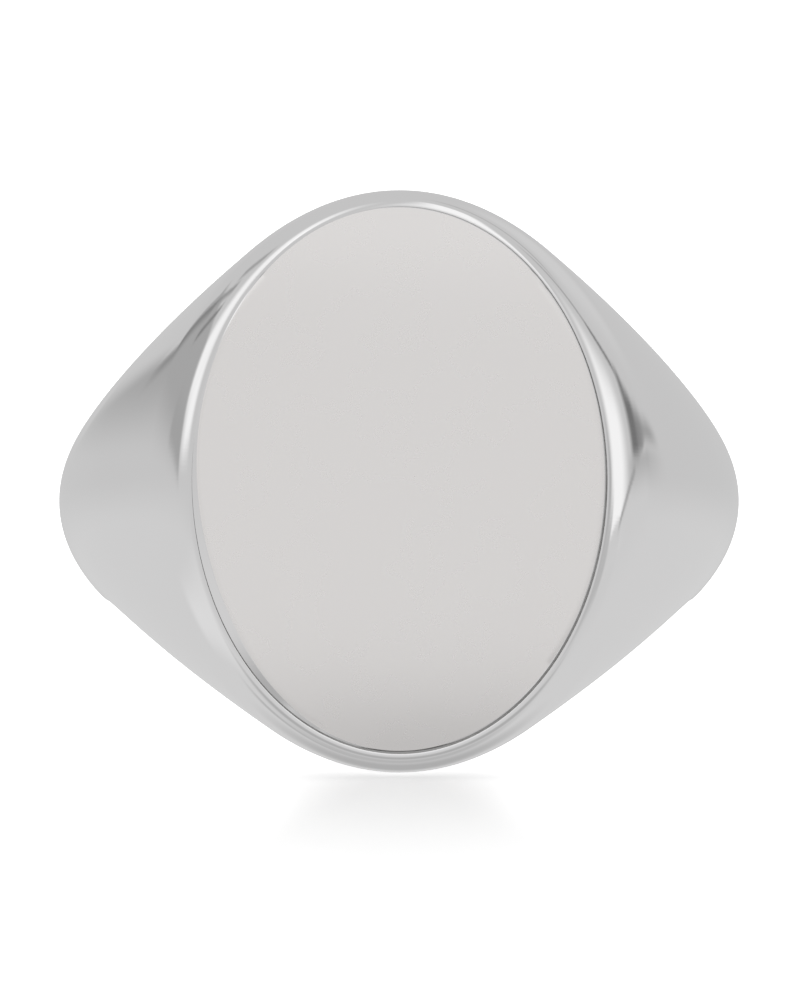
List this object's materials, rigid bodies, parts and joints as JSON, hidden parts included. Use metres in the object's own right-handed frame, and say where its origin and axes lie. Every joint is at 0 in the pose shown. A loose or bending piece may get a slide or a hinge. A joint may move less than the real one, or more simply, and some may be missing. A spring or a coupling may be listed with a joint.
{
  "type": "signet ring",
  "caption": "Plain oval signet ring in silver, with a satin table plate soldered into a polished cast head, broad shoulders and a tapering shank.",
  "frame": {"origin": "centre of the signet table's flat face", "axes": "+Z along the finger bore's axis, which runs through x 0, y +0.0118 m; -Y out of the signet table; X across the finger"},
  "size_m": [0.0226, 0.0231, 0.0188],
  "materials": {
    "polished_silver": "hand-polished sterling silver with faint polishing hairlines",
    "satin_silver": "fine satin sterling silver with a polished bevel",
    "silver_solder": "dull silver solder"
  },
  "bodies": {
    "root": {"ring_body": "polished_silver", "face_plate": "satin_silver", "solder_layer": "silver_solder"}
  },
  "joints": []
}
